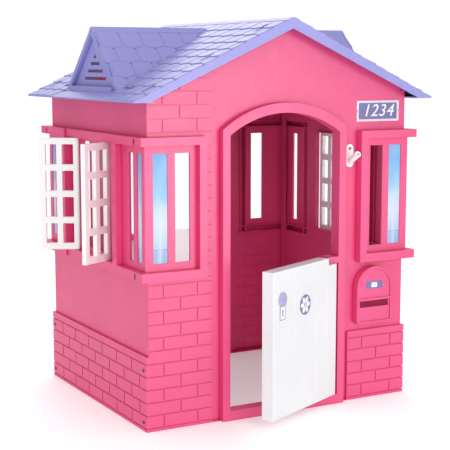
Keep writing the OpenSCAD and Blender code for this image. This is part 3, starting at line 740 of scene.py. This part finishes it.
def add_ring(work, outer, inner, back, front):
    """Band between two outlines of the same number of points."""
    rows = [[work.verts.new((x, y, z)) for x, z in points]
            for points, y in ((outer, back), (outer, front), (inner, front), (inner, back))]
    bridge(work, rows + rows[:1])


def rounded_rectangle(x0, x1, z0, z1, r):
    steps = 4
    points = []
    for cx, cz, start in ((x1 - r, z1 - r, 0), (x0 + r, z1 - r, 90),
                          (x0 + r, z0 + r, 180), (x1 - r, z0 + r, 270)):
        for i in range(steps + 1):
            a = math.radians(start + 90.0 * i / steps)
            points.append((cx + r * math.cos(a), cz + r * math.sin(a)))
    return points


def ellipse(cx, cz, rx, rz, count=40, turn=0.0):
    """turn is in radians."""
    points = []
    for i in range(count):
        a = 2 * math.pi * i / count
        x, z = rx * math.cos(a), rz * math.sin(a)
        points.append((cx + x * math.cos(turn) - z * math.sin(turn),
                       cz + x * math.sin(turn) + z * math.cos(turn)))
    return points


def scaled(points):
    """Millimetres into metres."""
    return [(x * MM, z * MM) for x, z in points]


def add_number_plaque():
    lo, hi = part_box("house_number_sticker")
    face = lo[1]
    x0, x1, z0, z1 = (v / MM for v in (lo[0], hi[0], lo[2], hi[2]))
    work = bmesh.new()
    outer = rounded_rectangle(x0, x1, z0, z1, 1.5)
    inner = rounded_rectangle(x0 + 7, x1 - 7, z0 + 6, z1 - 6, 3.0)
    add_ring(work, scaled(outer), scaled(inner), face + 0.2 * MM, face - 0.8 * MM)
    add_print("number_plaque_frame", work, print_white, "house")
    work = bmesh.new()
    thin_out = rounded_rectangle(x0 + 3, x1 - 3, z0 + 2.5, z1 - 2.5, 2.0)
    thin_in = rounded_rectangle(x0 + 4.4, x1 - 4.4, z0 + 3.9, z1 - 3.9, 2.0)
    add_ring(work, scaled(thin_out), scaled(thin_in), face - 0.7 * MM, face - 1.0 * MM)
    for x, toward in ((x0, 1), (x1, -1)):
        middle = (z0 + z1) / 2
        add_prism(work, scaled([(x, middle - 5), (x + toward * 8, middle), (x, middle + 5)]),
                  face - 0.7 * MM, face - 1.1 * MM)
    add_print("number_plaque_lines", work, print_silver, "house")

    curve = bpy.data.curves.new("digits", "FONT")
    curve.body = "1234"
    curve.size = 0.052
    curve.shear = 0.28
    curve.extrude = 0.0004
    curve.bevel_depth = 0.0003
    curve.align_x = "CENTER"
    curve.align_y = "CENTER"
    curve.space_character = 1.12
    text = link_object("digits", curve)
    bpy.context.view_layer.update()
    graph = bpy.context.evaluated_depsgraph_get()
    mesh = bpy.data.meshes.new_from_object(text.evaluated_get(graph))
    bpy.data.objects.remove(text)
    work = bmesh.new()
    work.from_mesh(mesh)
    bpy.data.meshes.remove(mesh)
    matrix = (Matrix.Translation(((lo[0] + hi[0]) / 2, face - 0.6 * MM, (lo[2] + hi[2]) / 2))
              @ Matrix.Rotation(math.radians(90), 4, "X"))
    add_print("number_plaque_digits", work, print_white, "house", matrix)


def add_mailbox_print():
    lo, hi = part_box("mailbox_sticker")
    face = lo[1]
    cx, cz = (lo[0] + hi[0]) / 2 / MM, (lo[2] + hi[2]) / 2 / MM
    work = bmesh.new()
    outer = rounded_rectangle(cx - 11, cx + 11, cz - 7.5, cz + 7.5, 1.0)
    add_prism(work, scaled(outer), face + 0.2 * MM, face - 0.4 * MM, 0.2 * MM)
    add_print("mailbox_envelope", work, print_white, "house")
    work = bmesh.new()
    for a, b in (((cx - 10, cz + 6.5), (cx, cz - 1)), ((cx, cz - 1), (cx + 10, cz + 6.5))):
        nx, nz = -(b[1] - a[1]), b[0] - a[0]
        length = math.hypot(nx, nz)
        nx, nz = 0.7 * nx / length, 0.7 * nz / length
        add_prism(work, scaled([(a[0] + nx, a[1] + nz), (b[0] + nx, b[1] + nz),
                                (b[0] - nx, b[1] - nz), (a[0] - nx, a[1] - nz)]),
                  face - 0.3 * MM, face - 0.7 * MM)
    add_print("mailbox_envelope_flap", work, print_lilac, "house")


# places in mm on the closed half door, from its hinge and along it
DOOR_FACE = -19.4
KNOB = (-300.0, 377.0)
KNOB_PROFILE = ((17.9, 0.2), (17.0, -0.6), (14.2, -1.0), (11.4, -0.9), (7.0, -1.4), (3.0, -1.7))
KEY_PLATE = (-312.0, -288.0, 320.0, 357.0)
KEYHOLE = (-300.0, 343.0)
KEYHOLE_FOOT = ((-301.4, 342.0), (-302.6, 329.0), (-297.4, 329.0), (-298.6, 342.0))
FLOWER = (-177.0, 342.0)
PETAL_REACH = 16.0
PETAL_SIZE = (9.5, 6.8)


def add_door_prints():
    local = (Matrix.Translation(hinge_places["front_door"])
             @ Matrix.Rotation(math.radians(DOOR_TURNS["front_door"]), 4, "Z"))
    face = DOOR_FACE * MM
    back = face + 0.2 * MM

    # knob: raised rings round a dome
    work = bmesh.new()
    for outer, inner, height in ((21.5, 18.0, 1.6), (14.0, 11.5, 1.4)):
        add_ring(work, scaled(ellipse(*KNOB, outer, outer)), scaled(ellipse(*KNOB, inner, inner)),
                 back, face - height * MM)
    add_print("door_knob_rings", work, print_silver, "front_door", local)
    work = bmesh.new()
    rows = []
    for radius, y in KNOB_PROFILE:
        rows.append([work.verts.new((x * MM, face + y * MM, z * MM))
                     for x, z in ellipse(*KNOB, radius, radius)])
    bridge(work, rows)
    work.faces.new(rows[0])
    work.faces.new(list(reversed(rows[-1])))
    add_print("door_knob_dome", work, print_lilac, "front_door", local, smooth=True)

    work = bmesh.new()
    add_prism(work, scaled(rounded_rectangle(*KEY_PLATE, 2.0)), back, face - 0.6 * MM, 0.3 * MM)
    add_print("door_key_plate", work, print_white, "front_door", local)
    work = bmesh.new()
    for outline in (ellipse(*KEYHOLE, 3.4, 3.4, 20), KEYHOLE_FOOT):
        add_prism(work, scaled(outline), face - 0.5 * MM, face - 0.9 * MM)
    add_print("door_keyhole", work, print_dark, "front_door", local)

    # flower badge: petals round a middle
    work = bmesh.new()
    for k in range(6):
        a = math.radians(60.0 * k)
        petal = ellipse(FLOWER[0] + PETAL_REACH * math.cos(a),
                        FLOWER[1] + PETAL_REACH * math.sin(a), *PETAL_SIZE, 20, a)
        add_prism(work, scaled(petal), back, face - 0.5 * MM, 0.3 * MM)
    add_print("door_flower_petals", work, print_white, "front_door", local)
    work = bmesh.new()
    add_prism(work, scaled(ellipse(*FLOWER, 7.0, 7.0, 24)), back, face - 0.8 * MM, 0.3 * MM)
    add_print("door_flower_middle", work, print_silver, "front_door", local)


# ---------- which edges have a wider bevel ----------

FACE_OUT = 10 * MM     # the trims stand further out of the front and back than this
SIDE_TRIM_X = 460 * MM
MAILBOX_X = (250 * MM, 395 * MM)
MAILBOX_Z = (230 * MM, 420 * MM)
DOOR_SKIN_Y = 18.5 * MM
DOOR_END_X = -347 * MM
DOOR_TOP_Z = 459 * MM


def edge_lies(test):
    return lambda edge: all(test(v.co) for v in edge.verts)


def out_of_front(co):
    """Surround and window trim of the front wall, but not the mailbox."""
    in_mailbox = MAILBOX_X[0] < co.x < MAILBOX_X[1] and MAILBOX_Z[0] < co.z < MAILBOX_Z[1]
    return co.y < -FACE_OUT and not in_mailbox


def door_rim(name):
    """Outer edges of a half door, at its free end and its top."""
    back = Matrix.Rotation(math.radians(-DOOR_TURNS[name]), 3, "Z")

    def test(edge):
        ends = [back @ (v.co - hinge_places[name]) for v in edge.verts]
        skin = all(abs(p.y) > DOOR_SKIN_Y for p in ends)
        return skin and (all(p.x < DOOR_END_X for p in ends)
                         or all(p.z > DOOR_TOP_Z for p in ends))

    return test


# ---------- assembly ----------

hinge_places = {joint["child"]: Vector(joint["pos_m"]) for joint in frame["joints"]}
DOOR_TURNS = {"front_door": 26.0, "back_door": 180.0}   # at rest, from a door along -X

for name, obj in frame["nodes"].items():
    obj.data.materials.clear()
    obj.data.materials.append(materials[node_slots[name]])
for name in ("left_window_stickers", "right_window_stickers"):
    frame["nodes"][name].data.materials[0] = side_film

add_camera()
add_floor()
add_world()
add_lights()

rounded_copy("front_wall", 1.2 * MM, (edge_lies(out_of_front), 4.5 * MM))
rounded_copy("back_wall", 1.2 * MM,
             (edge_lies(lambda co: co.y > 2 * MID_Y + FACE_OUT), 4.5 * MM))
rounded_copy("left_wall", 1.2 * MM, (edge_lies(lambda co: co.x < -SIDE_TRIM_X), 2.5 * MM))
rounded_copy("right_wall", 1.2 * MM, (edge_lies(lambda co: co.x > SIDE_TRIM_X), 2.5 * MM))
for name in ("roof_left", "roof_right"):
    rounded_copy(name, 1.2 * MM)
# the half doors get the darker copy of the white plastic: painted shade
for name in ("front_door", "back_door"):
    door = rounded_copy(name, 1.2 * MM, (door_rim(name), 5.0 * MM))
    door.data.materials[0] = door_white_shaded
for name in ("left_front_shutter", "left_rear_shutter", "right_front_shutter",
             "right_rear_shutter"):
    rounded_copy(name, 2.0 * MM)
rounded_copy("flag_holder", 0.8 * MM)
add_shingles("roof_left", -1.0)
add_shingles("roof_right", 1.0)
add_number_plaque()
add_mailbox_print()
add_door_prints()
